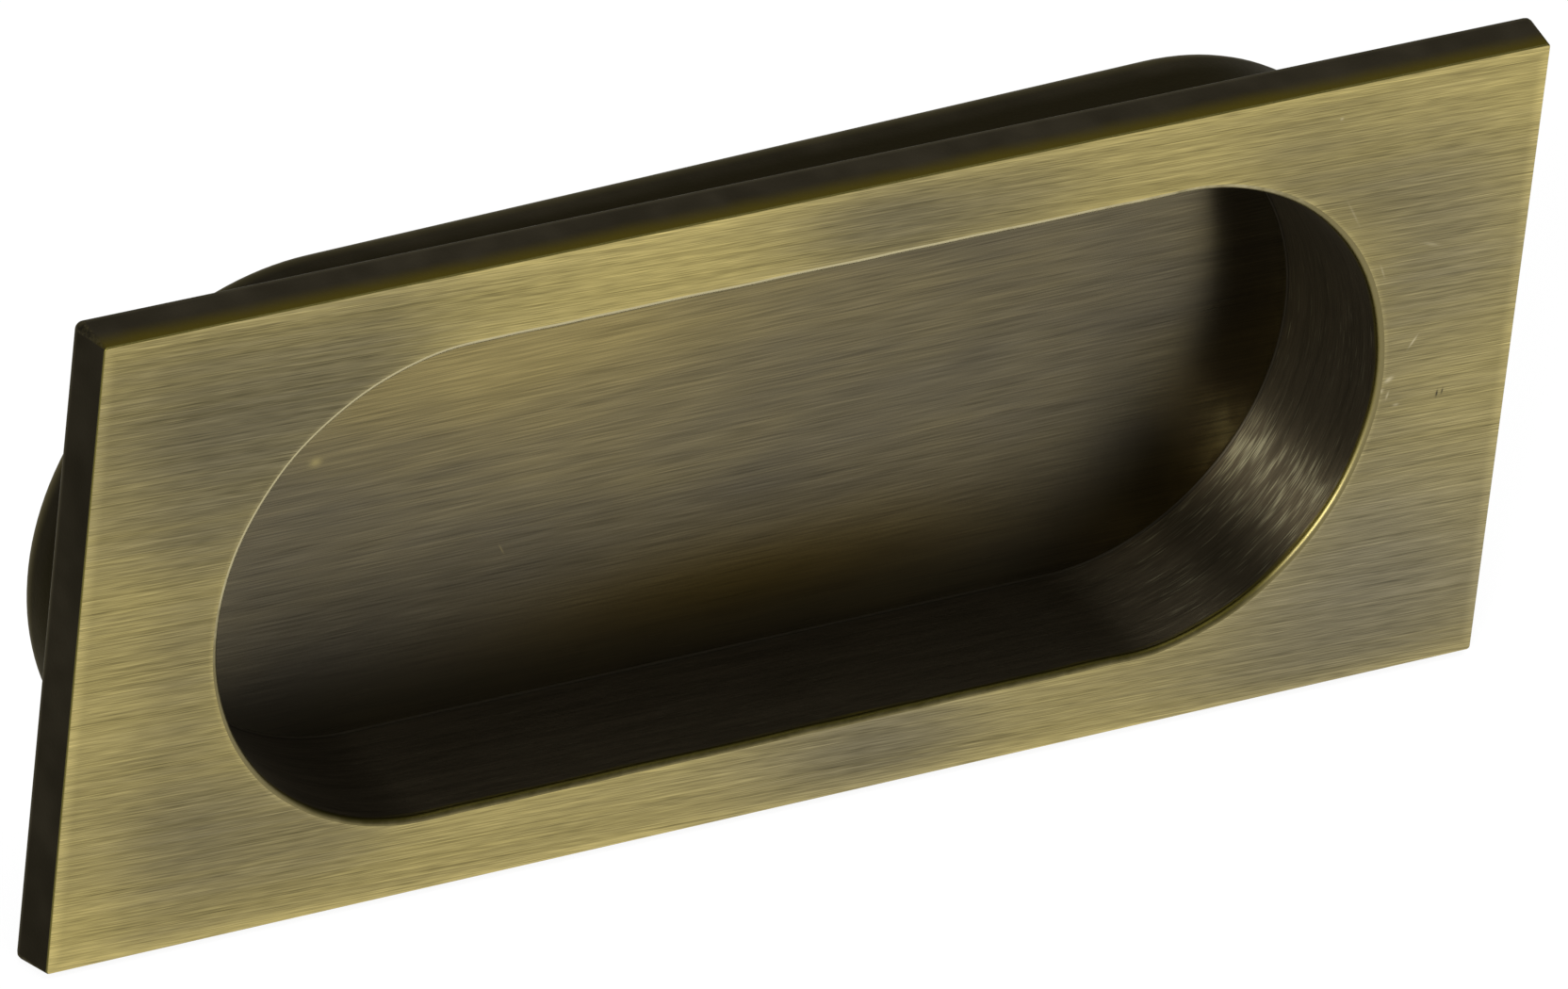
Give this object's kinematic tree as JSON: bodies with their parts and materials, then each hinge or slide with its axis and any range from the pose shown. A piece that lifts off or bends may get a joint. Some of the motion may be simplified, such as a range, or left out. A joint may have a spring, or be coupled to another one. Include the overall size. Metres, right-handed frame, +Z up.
{
  "type": "pocket door pull",
  "caption": "Rectangular pocket door pull in brushed antique brass: a flat plate with a long round-ended finger recess and a solid body that sinks into a mortise in the door.",
  "frame": {"origin": "centre of the plate's back, the plane that seats on the face of the door", "axes": "+X along the long side, +Y into the door, +Z up, with the face towards -Y"},
  "size_m": [0.0918, 0.0112, 0.0388],
  "materials": {
    "antique_brass": "brushed antique brass with dark patina on the sides, the recess walls and the back"
  },
  "bodies": {
    "root": {"flush_pull": "antique_brass"}
  },
  "joints": []
}
